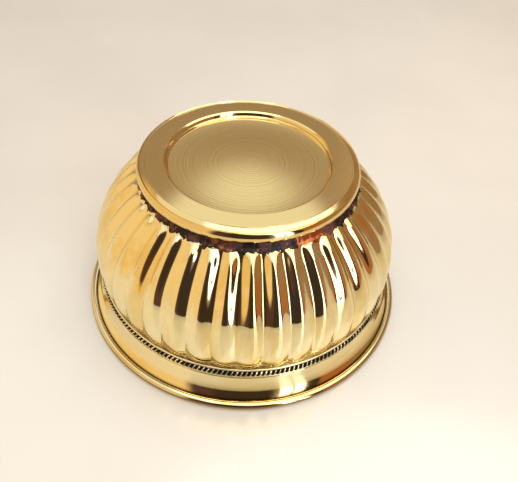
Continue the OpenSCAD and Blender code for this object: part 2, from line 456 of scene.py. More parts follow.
def run_braze_metal(name, colour, residue_and_shade, stain, burning):
    """Brazing metal as it froze: coppery on the lumps, burnt between them, and scratched."""
    material, sheet, shader, place = new_metal(name)
    lumps = sheet.noise(place, 420.0, 5.0, 0.7)
    patches = sheet.noise(place, 95.0, 3.0)
    clean = sheet.add("ShaderNodeVectorMath", operation="DISTANCE")
    sheet.join(place, clean.inputs[0])
    clean.inputs[1].default_value = COPPER_PATCH
    cleaned = sheet.ramp(clean.outputs["Value"], 0.4 * COPPER_PATCH_R, COPPER_PATCH_R, 0.45, 0.0)
    heat = sheet.maths("ADD", sheet.maths("ADD", lumps, patches), cleaned)
    burnt = sheet.ramp(heat, 0.86 + burning, 1.12 + burning, 1.0, 0.0)
    stained = sheet.ramp(sheet.noise(place, 130.0, 3.0, 0.6), 0.46, 0.62)
    dark = sheet.mix(stained, rgba(residue_and_shade), rgba(stain))
    slanted = sheet.add("ShaderNodeMapping")
    slanted.inputs["Rotation"].default_value = (0.4, 0.7, 0.5)
    slanted.inputs["Scale"].default_value = (1.0, 0.12, 1.0)
    sheet.join(place, slanted.inputs["Vector"])
    scratches = sheet.ramp(sheet.noise(slanted.outputs[0], 1500.0, 2.0), 0.66, 0.72)
    dull = sheet.maths("MULTIPLY", burnt, sheet.maths("SUBTRACT", 1.0, scratches))
    bare = tuple(min(1.0, 1.5 * c) for c in colour)
    metal = sheet.mix(scratches, rgba(colour), rgba(bare))
    sheet.join(sheet.mix(dull, metal, dark), shader.inputs["Base Color"])
    sheet.join(sheet.ramp(dull, 0.0, 1.0, 0.25, 0.4), shader.inputs["Roughness"])
    sheet.join(sheet.ramp(dull, 0.0, 1.0, 1.0, 0.0), shader.inputs["Metallic"])
    shader.inputs["Specular IOR Level"].default_value = 0.25
    sheet.join(sheet.bump(lumps, 0.6, 0.2 * MM), shader.inputs["Normal"])
    return material


# ---- body ---------------------------------------------------------------------------------------

BELLY_Z = 29.4 * MM
SHOULDER_REACH = 69.0 * MM
SHOULDER_POWER = 2.3
UNDERCUT_REACH = 64.3 * MM
WALL_T = 1.2 * MM
LIP_T = 1.0 * MM
SKIRT_R = COLLAR_R - LIP_T
SKIRT_Z = BODY_LOW.z
COLLAR_CLEARANCE = 0.03 * MM
RIB_STEPS = 24
INNER_STEPS = 12
CREASE_CROWDING = 0.6
CREASE_HALF_WIDTH = 0.09
# The ribs are arched low on the body and turn into even waves over this stretch
WAVED_FROM, WAVED_RUN = 32.0 * MM, 26.0 * MM
# Where the flutes reach their belly depth, and where they go on to their shoulder depth
BELLY_DEPTH_RUN = 12.0 * MM
SHOULDER_FROM, SHOULDER_RUN = 34.0 * MM, 28.0 * MM
TONGUE_RUN = 2.6 * MM
TONGUE_BLUNTNESS = 5
TIP_RUN = 4.0 * MM
TIP_GAP = 0.9 * MM
NECK_LEVEL = 0.4
CROWN_R = 48.07 * MM
CROWN_MIDDLE_R = FOOT_R * 0.5
CROWN_INSET = 1.0 * MM
OUTER_ROWS = 130
INNER_ROWS = 44
ROWS_CROWDING = 0.6
INNER_START = 0.6 * MM
WOBBLE = 0.012 * MM
RIB_SPACING_WAVES = ((0.0035, 13, 0.0), (0.003, 29, 1.0))
RIB_DEPTH_WAVES = ((0.06, 17, 0.5), (0.05, 23, 2.0))


def crest_radius(z):
    """Radius over the ribs at a height."""
    above = np.clip(z - BELLY_Z, 0, None) / SHOULDER_REACH
    below = np.clip(BELLY_Z - z, 0, None) / UNDERCUT_REACH
    return BELLY_R * (1 - above ** SHOULDER_POWER) * (1 - below ** 2)


def crest_normals(z):
    step = 0.01 * MM
    slope = (crest_radius(z + step) - crest_radius(z - step)) / (2 * step)
    length = np.sqrt(1 + slope ** 2)
    return 1 / length, -slope / length


def rib_rise(u, z):
    """How far up a rib the surface is: 0 in a crease, 1 on the crest. u runs from -1 to 1 across it."""
    w = CREASE_HALF_WIDTH
    across = np.abs(u)
    into_crease = np.clip(across - (1 - w), 0, w)
    rounding = 2 * (1 - w) * (into_crease - into_crease ** 2 / (2 * w))
    arched = (1 - np.minimum(across, 1 - w) ** 2 - rounding - w) / (1 - w)
    waved = (1 + np.cos(math.pi * u)) / 2
    rise = arched + (waved - arched) * smoothstep((z - WAVED_FROM) / WAVED_RUN)
    # the ribs end in blunt tongues above the rope band
    into_end = np.clip((COLLAR_TOP + TONGUE_RUN - z) / TONGUE_RUN, 0, 1)
    rise = np.clip(rise - into_end ** TONGUE_BLUNTNESS, 0, 1)
    # and run out round below the neck
    past = np.clip((z - (CROWN_Z - TIP_GAP - TIP_RUN)) / TIP_RUN, 0, 1)
    return NECK_LEVEL + (rise - NECK_LEVEL) * np.sqrt(1 - past ** 2)


def flute_depth(z, shape):
    """Depth of the flutes at a height: from the rope to the belly, and on to the shoulder."""
    to_belly = smoothstep((z - COLLAR_TOP) / BELLY_DEPTH_RUN)
    to_shoulder = smoothstep((z - SHOULDER_FROM) / SHOULDER_RUN)
    low = shape.low_depth + (shape.belly_depth - shape.low_depth) * to_belly
    return low + (shape.shoulder_depth - shape.belly_depth) * to_shoulder


def hand_wobble(turn, z):
    """The slight unevenness of a raised and hand-polished sheet."""
    up = z / RIM_R
    return WOBBLE * waves(turn, ((1.0, 7, 90 * up), (0.8, 17, 1.3 - 43 * up), (0.6, 41, 21 * up + 0.4)))


def rib_columns(shape, steps):
    """Angles of the columns of points, closer in the creases, and the place of each across its rib."""
    k = np.arange(shape.ribs * steps)
    along = (k % steps) / steps
    along = along + CREASE_CROWDING / FULL_TURN * np.sin(FULL_TURN * along)
    turn = shape.first_rib + FULL_TURN * (k // steps + along) / shape.ribs
    return turn + waves(turn, RIB_SPACING_WAVES), 2 * ((along + 0.5) % 1.0) - 1


def fluted_rings(heights, inset, steps, shape):
    """Points of the fluted sheet: one ring for each height, shifted inwards by inset."""
    turn, u = rib_columns(shape, steps)
    z, u = heights[:, None], u[None, :]
    out_r, out_z = crest_normals(z)
    by_hand = 1 + waves(turn, RIB_DEPTH_WAVES)
    drop = flute_depth(z, shape) * by_hand * (1 - rib_rise(u, z)) + hand_wobble(turn[None, :], z)
    if inset == 0:
        # below the belly the creases stay clear of the collar
        to_collar = crest_radius(z) - COLLAR_R - COLLAR_CLEARANCE
        room = np.where(z < BELLY_Z, to_collar, 2 * shape.shoulder_depth)
        drop = np.minimum(drop, room)
    drop = drop + inset
    radius = crest_radius(z) - drop * out_r
    height = np.broadcast_to(z - drop * out_z, radius.shape)
    return np.stack([radius * np.cos(turn), radius * np.sin(turn), height], -1)


def plain_ring(radius, height, turn):
    return np.column_stack([radius * np.cos(turn), radius * np.sin(turn), np.full(len(turn), height)])


def cap_faces(first, around, centre):
    return [(first + k, first + (k + 1) % around, centre) for k in range(around)]


def make_body(shape):
    """The raised sheet: fluted outside and inside, with a skirt below and a flat crown above."""
    span = CROWN_Z - COLLAR_TOP
    t = np.linspace(0, 1, OUTER_ROWS)
    crowded = 0.5 - 0.5 * np.cos(math.pi * t)
    heights = COLLAR_TOP + span * (crowded * ROWS_CROWDING + t * (1 - ROWS_CROWDING))
    around = shape.ribs * RIB_STEPS
    turn, _ = rib_columns(shape, RIB_STEPS)
    inner_turn, _ = rib_columns(shape, INNER_STEPS)
    outer = fluted_rings(heights, 0.0, RIB_STEPS, shape)
    outer = np.concatenate([
        plain_ring(SKIRT_R, SKIRT_Z, turn)[None],
        plain_ring(SKIRT_R, COLLAR_TOP, turn)[None],
        outer,
        plain_ring(CROWN_R, CROWN_Z, turn)[None],
        plain_ring(CROWN_MIDDLE_R, CROWN_Z, turn)[None],
    ])
    inner_around = shape.ribs * INNER_STEPS
    inner_heights = COLLAR_TOP + INNER_START + (span - INNER_START) * np.linspace(0, 1, INNER_ROWS)
    inner = fluted_rings(inner_heights[::-1], WALL_T, INNER_STEPS, shape)
    floor_z = CROWN_Z - WALL_T
    inner = np.concatenate([
        plain_ring(CROWN_MIDDLE_R, floor_z, inner_turn)[None],
        plain_ring(CROWN_R - CROWN_INSET, floor_z, inner_turn)[None],
        inner,
        plain_ring(SKIRT_R - WALL_T, COLLAR_TOP - WALL_T, inner_turn)[None],
        plain_ring(SKIRT_R - WALL_T, SKIRT_Z, inner_turn)[None],
    ])
    crown = np.array([[0, 0, CROWN_Z], [0, 0, floor_z]])
    points = np.concatenate([outer.reshape(-1, 3), inner.reshape(-1, 3), crown])
    first_inner = outer.shape[0] * around
    faces = grid_faces(outer.shape[0], around, False)
    faces += cap_faces((outer.shape[0] - 1) * around, around, len(points) - 2)
    faces += [tuple(first_inner + i for i in f) for f in grid_faces(inner.shape[0], inner_around, False)]
    faces += cap_faces(first_inner, inner_around, len(points) - 1)
    last_inner = first_inner + (inner.shape[0] - 1) * inner_around
    ratio = RIB_STEPS // INNER_STEPS
    for k in range(inner_around):
        edge = [(k * ratio + j) % around for j in range(ratio + 1)]
        faces.append(tuple(edge) + (last_inner + (k + 1) % inner_around, last_inner + k))
    return mesh_object("body_sheet", points, faces, 32)


class BOWL_OT_raise_body(bpy.types.Operator):
    """Raise the fluted body sheet"""

    bl_idname = "bowl.raise_body"
    bl_label = "Raise Body"

    def execute(self, context):
        shape, finish = context.scene.bowl_shape, context.scene.bowl_finish
        material = polished_brass("raised_brass", finish.brass, finish.tarnish, 0.04, (1.0, 1.0, 0.12))
        add_corner_darkening(material, finish.corner)
        finish_piece(make_body(shape), "fluted_body", material)
        return {"FINISHED"}


# ---- lip ----------------------------------------------------------------------------------------

COVE_TOP_R = RIM_R - 8.3 * MM
UPPER_COVE_R = 30.0 * MM
COVE_TOP_ANGLE = 12.0
COVE_JOIN_ANGLE = 24.0
ROLL_W = 2.05 * MM
ROLL_H = 1.8 * MM
LAND_SINK = 0.05 * MM
SEAM_ANGLE = 6.0
TUCK_ANGLE = 128.0
HEEL_LIMIT = 200.0
WIRE_GAP = 0.02 * MM
LIP_CORNER = 0.25 * MM
UNEVEN = 0.02 * MM


def toward(angle):
    return np.array([math.cos(math.radians(angle)), math.sin(math.radians(angle))])


def bearing(centre, point):
    return math.degrees(math.atan2(point[1] - centre[1], point[0] - centre[0])) % 360


def on_roll(angles):
    """Points of the slightly flattened roll, at angles about the wire in degrees."""
    turn = np.radians(angles)
    out, up = ROLL_W * np.cos(turn), ROLL_H * np.sin(turn)
    return np.column_stack([RIM_R - ROLL_W + out, ROLL_H - LAND_SINK + up])


def lip_outline():
    """One strip of sheet: down the collar and the cove, under the wire, over it, and tucked in."""
    cove_top = np.array([COVE_TOP_R, COVE_TOP_Z])
    upper = cove_top + UPPER_COVE_R * toward(COVE_TOP_ANGLE)
    join = upper - UPPER_COVE_R * toward(COVE_JOIN_ANGLE)
    groove = on_roll([TUCK_ANGLE])[0]
    lower_r = np.sum((groove - join) ** 2) / (2 * np.dot(groove - join, toward(COVE_JOIN_ANGLE)))
    lower = join + lower_r * toward(COVE_JOIN_ANGLE)
    roll = np.array([RIM_R - ROLL_W, ROLL_H - LAND_SINK])
    hole_r = (WIRE_HIGH.z - WIRE_LOW.z) / 2 + WIRE_GAP
    back = np.arange(TUCK_ANGLE, HEEL_LIMIT, 0.5)
    heel_angle = back[np.linalg.norm(on_roll(back) - lower, axis=1) < lower_r + LIP_T].max()
    heel = on_roll([heel_angle])[0]

    def cove(shift, end):
        return np.concatenate([
            arc(upper, UPPER_COVE_R + shift, 180 + COVE_TOP_ANGLE, 180 + COVE_JOIN_ANGLE, 20),
            arc(lower, lower_r + shift, 180 + COVE_JOIN_ANGLE, bearing(lower, end), 26)[1:],
        ])

    corner = LIP_CORNER
    seam_end = TUCK_ANGLE + 360 - SEAM_ANGLE
    outline = np.concatenate([
        [[SKIRT_R, COLLAR_TOP], [COLLAR_R, COLLAR_TOP], [COLLAR_R, COVE_TOP_Z]],
        [[COVE_TOP_R - corner, COVE_TOP_Z], [COVE_TOP_R - corner * 0.35, COVE_TOP_Z - corner * 0.2]],
        cove(0.0, groove)[1:],
        arc(roll, hole_r, TUCK_ANGLE, seam_end, 40),
        on_roll(np.linspace(seam_end, heel_angle, 90)),
        cove(LIP_T, heel)[::-1],
        [[SKIRT_R, SKIRT_Z]],
    ])
    outline[:, 1] = np.maximum(outline[:, 1], 0.0)
    return outline


class BOWL_OT_spin_lip(bpy.types.Operator):
    """Spin the flared lip and roll its edge"""

    bl_idname = "bowl.spin_lip"
    bl_label = "Spin Lip"

    def execute(self, context):
        finish = context.scene.bowl_finish

        def uneven(radius, height, turn):
            inside = smoothstep((RIM_R - 2.2 * ROLL_W - radius) / (2 * MM))
            shift = UNEVEN * np.sin(5 * turn + 0.7) * inside
            return radius + shift, height

        lip = turned_piece("lip_sheet", lip_outline(), 480, 40, uneven)
        material = polished_brass("spun_brass", finish.brass, finish.tarnish, 0.05, (0.12, 0.12, 1.0))
        # this step also paints shade into the tuck of the rolled edge
        add_spinning_marks_and_tuck_shade(material, finish.corner)
        finish_piece(lip, "flared_lip", material)
        return {"FINISHED"}


class BOWL_OT_draw_rim_wire(bpy.types.Operator):
    """Give the wire inside the rolled edge its drawn finish"""

    bl_idname = "bowl.draw_rim_wire"
    bl_label = "Draw Rim Wire"

    def execute(self, context):
        finish = context.scene.bowl_finish
        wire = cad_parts["rim_wire"]
        material = polished_brass("drawn_wire", finish.brass, finish.tarnish, 0.14, (0.1, 0.1, 1.0))
        wire.data.materials.clear()
        wire.data.materials.append(material)
        return {"FINISHED"}


# ---- rope band ----------------------------------------------------------------------------------

STRAND_STEPS = 14
STRAND_SIDES = 10
STRAND_SHARE = 0.51


def strand_points(shape, start):
    """One strand of the rope: a helix about the rope's centre line, with the back pressed flat."""
    strand_r = STRAND_SHARE * ROPE_R
    offset = ROPE_R - strand_r
    count = shape.rope_lays * STRAND_STEPS
    turn = FULL_TURN * np.arange(count) / count
    twist = shape.rope_lays * turn + start

    def centre(angle, lay):
        radius, height = ROPE_CENTRE_R + offset * np.cos(lay), ROPE_Z + offset * np.sin(lay)
        return np.column_stack([radius * np.cos(angle), radius * np.sin(angle), height])

    middle = centre(turn, twist)
    step = 1e-4
    along = centre(turn + step, twist + shape.rope_lays * step) - middle
    along /= np.linalg.norm(along, axis=1)[:, None]
    outward = np.column_stack([np.cos(turn) * np.cos(twist), np.sin(turn) * np.cos(twist), np.sin(twist)])
    outward -= np.sum(outward * along, axis=1)[:, None] * along
    outward /= np.linalg.norm(outward, axis=1)[:, None]
    side = np.cross(along, outward)
    around = FULL_TURN * np.arange(STRAND_SIDES) / STRAND_SIDES
    points = middle[:, None] + strand_r * (
        np.cos(around)[None, :, None] * outward[:, None] + np.sin(around)[None, :, None] * side[:, None])
    points = points.reshape(-1, 3)
    radius = np.hypot(points[:, 0], points[:, 1])
    bed = np.maximum(radius, COLLAR_R) / radius
    points[:, :2] *= bed[:, None]
    return points, count


def rope_brass(name, colour, residue_and_shade):
    """Brass on the crests of the strands, near black down their sides and between them."""
    material, sheet, shader, place = new_metal(name)
    split = sheet.add("ShaderNodeSeparateXYZ")
    sheet.join(place, split.inputs[0])
    across = sheet.maths("SUBTRACT", axis_distance(sheet, place), ROPE_CENTRE_R)
    up = sheet.maths("SUBTRACT", split.outputs[2], ROPE_Z)
    squares = sheet.maths("ADD", sheet.maths("POWER", across, 2.0), sheet.maths("POWER", up, 2.0))
    patch = 0.03 * ROPE_R
    patches = sheet.ramp(sheet.noise(place, 110.0, 2.0), 0.3, 0.7, -patch, patch)
    from_centre = sheet.maths("ADD", sheet.maths("SQRT", squares), patches)
    black = sheet.ramp(from_centre, 0.93 * ROPE_R, 0.99 * ROPE_R, 1.0, 0.0)
    sheet.join(sheet.mix(black, rgba(colour), rgba(residue_and_shade)), shader.inputs["Base Color"])
    sheet.join(sheet.ramp(black, 0.0, 1.0, 0.1, 0.6), shader.inputs["Roughness"])
    sheet.join(sheet.ramp(black, 0.0, 1.0, 1.0, 0.0), shader.inputs["Metallic"])
    shader.inputs["Specular IOR Level"].default_value = 0.2
    sheet.join(sheet.bump(sheet.noise(place, 900.0, 2.0), 0.3, 0.03 * MM), shader.inputs["Normal"])
    return material


def make_rope(shape):
    points, faces = [], []
    for start in (0.0, math.pi):
        strand, count = strand_points(shape, start)
        base = sum(len(p) for p in points)
        points.append(strand)
        faces += [tuple(base + i for i in f) for f in grid_faces(count, STRAND_SIDES, True)]
    return mesh_object("rope_moulding", np.concatenate(points), faces, 60)


def fillet_wire(name, z):
    outline = arc((COLLAR_R + FILLET_R - WIRE_BED, z), FILLET_R, 0, 345, 23)
    outline[:, 0] = np.maximum(outline[:, 0], COLLAR_R)

    def uneven(radius, height, turn):
        return radius + UNEVEN * np.sin(23 * turn), height + 1.5 * UNEVEN * np.sin(31 * turn + 1)

    return turned_piece(name, outline, 480, 60, uneven)


class BOWL_OT_wind_rope_band(bpy.types.Operator):
    """Wind the twisted wire and the two fine wires around the collar"""

    bl_idname = "bowl.wind_rope_band"
    bl_label = "Wind Rope Band"

    def execute(self, context):
        shape, finish = context.scene.bowl_shape, context.scene.bowl_finish
        twisted = rope_brass("twisted_wire", finish.brass, finish.residue_and_shade)
        finish_piece(make_rope(shape), "rope_wire", twisted)
        drawn = polished_brass("fine_wire", finish.brass, finish.tarnish, 0.2, (0.1, 0.1, 1.0), 0.1)
        upper = fillet_wire("upper_fine_wire", COLLAR_TOP - FILLET_R)
        finish_piece(upper, "upper_fillet_wire", drawn)
        lower = fillet_wire("lower_fine_wire", COVE_TOP_Z + FILLET_R)
        finish_piece(lower, "lower_fillet_wire", drawn)
        return {"FINISHED"}


# ---- foot ---------------------------------------------------------------------------------------


ROOT_R = 47.5 * MM
COLLAR_ROUND_R = 3.3 * MM
COLLAR_DROP = 3.2 * MM
FACE_R = 46.15 * MM
BEVEL_W = 1.75 * MM
BEVEL_H = 0.8 * MM
BORE_R = DISC_R + 0.05 * MM
LEDGE_W = 3.6 * MM
WEB_T = 1.6 * MM
ROOT_W = 6.5 * MM
SCRIBE_R = FACE_R - 0.5 * MM
SCRIBE_DEPTH = 0.09 * MM
DISC_T = 1.4 * MM
DISC_RIM_W = 0.8 * MM
DISC_DISH = 0.4 * MM
DISC_CENTRE_R = 0.05 * MM
RIPPLE, RIPPLE_PITCH = 0.0015 * MM, 1.3 * MM


def foot_outline():
    """Section of the turned foot, from the bore round by the face and the rounded collar to the root."""
    ledge_z = DISC_LOW.z
    groove_r, groove_z = FACE_R + BEVEL_W, FOOT_TOP - BEVEL_H
    middle = (FOOT_R - COLLAR_ROUND_R, FOOT_TOP - COLLAR_DROP)
    last = -math.degrees(math.acos((ROOT_R - middle[0]) / COLLAR_ROUND_R))
    top = rounded([
        (BORE_R, ledge_z, 0.0),
        (BORE_R, FOOT_TOP - 1.4 * MM, 0.15 * MM),
        (BORE_R + 0.5 * MM, FOOT_TOP - 0.55 * MM, 0.12 * MM),
        (BORE_R + 1.2 * MM, FOOT_TOP, 0.1 * MM),
        (SCRIBE_R - SCRIBE_DEPTH, FOOT_TOP, 0.0),
        (SCRIBE_R, FOOT_TOP - SCRIBE_DEPTH, 0.0),
        (SCRIBE_R + SCRIBE_DEPTH, FOOT_TOP, 0.0),
        (FACE_R, FOOT_TOP, 0.12 * MM),
        (groove_r, groove_z, 0.08 * MM),
        (groove_r + 0.05 * MM, groove_z - 0.45 * MM, 0.03 * MM),
        (groove_r + 0.4 * MM, groove_z - 0.1 * MM, 0.0),
    ], 5)
    collar = arc(middle, COLLAR_ROUND_R, 50, last, 44)
    root = rounded([
        (ROOT_R, CROWN_Z, 0.0),
        (ROOT_R - ROOT_W, CROWN_Z, 0.0),
        (ROOT_R - ROOT_W, ledge_z - WEB_T, 0.2 * MM),
        (BORE_R - LEDGE_W, ledge_z - WEB_T, 0.2 * MM),
        (BORE_R - LEDGE_W, ledge_z, 0.2 * MM),
    ], 3)
    return np.concatenate([top, collar, root])


class BOWL_OT_turn_foot(bpy.types.Operator):
    """Turn the foot ring"""

    bl_idname = "bowl.turn_foot"
    bl_label = "Turn Foot"

    def execute(self, context):
        finish = context.scene.bowl_finish
        foot = turned_piece("foot_turning", filled_in(foot_outline(), 0.6 * MM), 480, 38)
        material = turned_brass("turned_foot_brass", finish.turned, finish.tarnish, 0.05, 0.0025 * MM)
        finish_piece(foot, "foot_ring", material)
        return {"FINISHED"}


class BOWL_OT_turn_disc(bpy.types.Operator):
    """Turn the disc that closes the foot"""

    bl_idname = "bowl.turn_disc"
    bl_label = "Turn Disc"

    def execute(self, context):
        finish = context.scene.bowl_finish
        face_z = DISC_LOW.z + DISC_T
        dish_r = DISC_R - DISC_RIM_W
        radii = np.linspace(dish_r, DISC_CENTRE_R, 130)
        ripple = RIPPLE * np.sin(FULL_TURN * radii / RIPPLE_PITCH)
        face = np.column_stack([radii, face_z - DISC_DISH * (1 - (radii / dish_r) ** 4) + ripple])
        rim = rounded([
            (dish_r - 0.01 * MM, DISC_LOW.z, 0.0),
            (DISC_R, DISC_LOW.z, 0.1 * MM),
            (DISC_R, DISC_HIGH.z, 0.12 * MM),
            (dish_r, face_z, 0.0),
        ], 4)
        outline = np.concatenate([rim, face[1:], [[DISC_CENTRE_R, DISC_LOW.z]]])
        disc = turned_piece("disc_turning", outline, 360, 38)
        material = turned_brass("turned_disc_brass", finish.turned, finish.tarnish, 0.06, 0.0035 * MM)
        finish_piece(disc, "base_disc", material)
        return {"FINISHED"}


# ---- braze --------------------------------------------------------------------------------------

RAGGED_WAVES = ((1.0, 37, 0.0), (0.9, 61, 2.1), (0.8, 97, 0.6), (0.5, 229, 4.0))
LUMP_WAVES = ((0.25, 71, 1.0), (0.25, 131, 0.3))
NECK_FALL = 4.0 * MM
NECK_ROWS = 14
NECK_TOP = CROWN_Z + 1.2 * MM
NECK_INNER_R = ROOT_R - 0.6 * MM
FILLET_SHARE = 0.55
# The metal ends in a ragged edge, which lies further in on one side and further out in the creases
EDGE_R = 50.2 * MM
EDGE_RAGGED = 0.22 * MM
EDGE_IN_CREASES = 0.5 * MM
THIN_SIDE_CUT = 0.9 * MM
THIN_SIDE_AT = math.radians(172)
METAL_T, LUMP_T = 0.05 * MM, 0.16 * MM


def ragged(amount):
    """Moves a fillet in and out along its length, as braze that ran in by hand."""

    def shift(radius, height, turn):
        wave = waves(turn, (*RAGGED_WAVES[:3], (0.7, 143, 900 * height / RIM_R), (0.6, 229, 4.0)))
        return radius + amount * wave, height

    return shift


def neck_metal(shape):
    """Metal and burnt flux run out of the neck, over the crown and down onto the ends of the ribs."""
    sheet = fluted_rings(np.linspace(CROWN_Z - NECK_FALL, CROWN_Z, 40), 0.0, RIB_STEPS, shape)
    turn, u = rib_columns(shape, RIB_STEPS)
    crown = np.ones((1, len(turn)))
    ribs_r = np.hypot(sheet[..., 0], sheet[..., 1])
    sheet_r = np.concatenate([ribs_r, CROWN_R * crown, CROWN_MIDDLE_R * crown])
    sheet_z = np.concatenate([sheet[..., 2], CROWN_Z * crown, CROWN_Z * crown])
    thin_side = smoothstep((np.cos(turn - THIN_SIDE_AT) - 0.1) / 0.6)
    ragged_edge = waves(turn, (*RAGGED_WAVES, (0.7, 163, 1.9)))
    edge = EDGE_R - THIN_SIDE_CUT * thin_side + EDGE_RAGGED * ragged_edge + EDGE_IN_CREASES * u ** 2
    thickness = METAL_T + LUMP_T * (0.5 + waves(turn, LUMP_WAVES))
    rows = [np.stack([np.full_like(turn, NECK_INNER_R), np.full_like(turn, NECK_TOP)])]
    for share in np.linspace(0, 1, NECK_ROWS):
        radius = ROOT_R + (edge - ROOT_R) * share
        under = np.array([
            np.interp(radius[k], sheet_r[::-1, k], sheet_z[::-1, k]) for k in range(len(turn))
        ])
        fillet = (NECK_TOP - CROWN_Z) * (1 - min(share / FILLET_SHARE, 1.0)) ** 2
        rows.append(np.stack([radius, under + fillet + thickness * (1 - share ** 4)]))
    rows.append(np.stack([edge + 0.1 * MM, rows[-1][1] - 0.35 * MM]))
    rows.append(np.stack([edge - 0.5 * MM, rows[-2][1] - 0.55 * MM]))
    rows.append(np.stack([np.full_like(turn, NECK_INNER_R), np.full_like(turn, CROWN_Z - 0.4 * MM)]))
    radius, height = np.stack(rows, axis=1)
    points = np.stack([radius * np.cos(turn), radius * np.sin(turn), height], -1).reshape(-1, 3)
    return mesh_object("neck_metal", points, grid_faces(len(rows), len(turn), True), 60)


class BOWL_OT_run_braze(bpy.types.Operator):
    """Run the braze into the neck under the foot and into the lap inside the lip"""

    bl_idname = "bowl.run_braze"
    bl_label = "Run Braze"

    def execute(self, context):
        shape, finish = context.scene.bowl_shape, context.scene.bowl_finish
        burnt = run_braze_metal("neck_braze_metal", finish.braze, finish.residue_and_shade, finish.stain, 0.17)
        finish_piece(neck_metal(shape), "foot_braze", burnt)
        seam_r, seam_drop = SEAM_HIGH.x, SEAM_HIGH.z - SEAM_LOW.z
        seam_outline = rounded([
            (SKIRT_R - WALL_T + 0.25 * MM, SEAM_HIGH.z, 0.0),
            (seam_r - 0.3 * MM, SEAM_HIGH.z, 0.0),
            (seam_r, SEAM_HIGH.z - seam_drop, 0.1 * MM),
            (seam_r - 1.0 * MM, SEAM_HIGH.z - 0.55 * seam_drop, 0.3 * MM),
        ], 4)
        seam = turned_piece("lap_braze", seam_outline, 720, 60, ragged(0.03 * MM))
        lap = run_braze_metal("lap_braze_metal", finish.braze, finish.residue_and_shade, finish.stain, 0.0)
        finish_piece(seam, "lip_braze", lap)
        return {"FINISHED"}


# ---- stage --------------------------------------------------------------------------------------

# Soft cards around the bowl, as seen from it: middle azimuth, half width, middle height and half
# height in degrees, softness of the edge in degrees, colour and brightness. The camera is at -90.
CARDS = (
    ("left_wall", 195, 50, 8, 34, 8, (1.00, 0.72, 0.38), 1.0),
    ("right_wall", 25, 45, 8, 32, 6, (0.40, 0.25, 0.15), 0.9),
    ("pale_corner", 64, 14, 33, 10, 5, (0.68, 0.52, 0.38), 1.0),
    ("purple_front", -107, 12, 12, 37, 4, (0.10, 0.050, 0.042), 1.0),
    ("behind_camera", -84, 19, 22, 38, 3, (0.050, 0.034, 0.027), 1.0),
    ("right_front", -29, 15, 16, 36, 4, (0.45, 0.17, 0.065), 1.0),
    ("dark_strip", -40, 4.5, 20, 40, 1.5, (0.05, 0.03, 0.025), 1.0),
    ("window", -53.5, 8.0, 24, 34, 0.4, (0.88, 0.96, 1.15), 3.6),
    ("mullion", -53.0, 1.0, 24, 36, 0.4, (0.35, 0.33, 0.34), 1.0),
)
CEILING_EDGE = 37.0
CEILING_MIDDLE = 92.0
CEILING_DROOP = 0.035
CEILING_DROOP_MOST = 6.0
CEILING_SOFTNESS = 1.5
WALL_TONE = (0.42, 0.32, 0.25)
CEILING_TONE = (1.03, 1.02, 0.98)


def build_world(light):
    """A soft studio: light from above, darker round the horizon, with a few broad cards."""
    world = bpy.data.worlds.new("studio")
    bpy.context.scene.world = world
    world.use_nodes = True
    sheet = NodeSheet(world.node_tree)
    split = sheet.add("ShaderNodeSeparateXYZ")
    sheet.join(sheet.add("ShaderNodeTexCoord").outputs["Generated"], split.inputs[0])
    azimuth = sheet.maths("ARCTAN2", split.outputs[1], split.outputs[0])
    height = sheet.maths("ARCSINE", split.outputs[2])

    def aside_of(middle):
        offset = sheet.maths("SUBTRACT", azimuth, math.radians(middle))
        return sheet.maths("WRAP", offset, math.pi, -math.pi)

    def within(offset, half, soft):
        near, far = math.radians(half - soft), math.radians(half + soft)
        return sheet.ramp(sheet.maths("ABSOLUTE", offset), near, far, 1.0, 0.0)

    # the wall behind the bowl ends at the bright ceiling in a line that drops away to both sides
    aside = aside_of(CEILING_MIDDLE)
    droop = sheet.maths("MULTIPLY", sheet.maths("POWER", aside, 2.0), CEILING_DROOP / math.radians(1.0))
    droop = sheet.maths("MINIMUM", droop, math.radians(CEILING_DROOP_MOST))
    above = sheet.maths("SUBTRACT", sheet.maths("SUBTRACT", height, droop), math.radians(CEILING_EDGE))
    edge = math.radians(CEILING_SOFTNESS)
    colour = sheet.mix(sheet.ramp(above, -edge, edge), rgba(WALL_TONE), rgba(CEILING_TONE))
    for _, middle, half_width, centre, half_height, soft, tint, strength in CARDS:
        up = sheet.maths("SUBTRACT", height, math.radians(centre))
        mask = within(aside_of(middle), half_width, soft)
        share = sheet.maths("MULTIPLY", mask, within(up, half_height, soft))
        colour = sheet.mix(share, colour, rgba(c * strength for c in tint))
    background = sheet.add("ShaderNodeBackground")
    background.inputs["Strength"].default_value = light
    sheet.join(colour, background.inputs["Color"])
    sheet.join(background.outputs[0], sheet.add("ShaderNodeOutputWorld").inputs[0])


def add_softbox(name, place, size, power, colour):
    lamp = bpy.data.lights.new(name, "AREA")
    lamp.shape = "DISK"
    lamp.size = size
    lamp.energy = power
    lamp.color = colour
    box = bpy.data.objects.new(name, lamp)
    box.location = place
    box.rotation_euler = (-Vector(place)).to_track_quat("-Z", "Y").to_euler()
    bpy.context.scene.collection.objects.link(box)


def floor_material(colour):
    """Pale board with a thin satin varnish and a barely visible cloudiness."""
    material = bpy.data.materials.new("pale_floor")
    material.use_nodes = True
    sheet = NodeSheet(material.node_tree)
    shader = sheet.add("ShaderNodeBsdfPrincipled")
    place = sheet.add("ShaderNodeTexCoord").outputs["Object"]
    clouds = sheet.ramp(sheet.noise(place, 9.0, 4.0), 0.35, 0.7)
    deeper = tuple(0.95 * c for c in colour)
    sheet.join(sheet.mix(clouds, rgba(colour), rgba(deeper)), shader.inputs["Base Color"])
    shader.inputs["Roughness"].default_value = 0.75
    shader.inputs["Coat Weight"].default_value = 1.0
    shader.inputs["Coat IOR"].default_value = 1.9
    shader.inputs["Coat Roughness"].default_value = 0.16
    sheet.join(shader.outputs[0], sheet.add("ShaderNodeOutputMaterial").inputs[0])
    return material


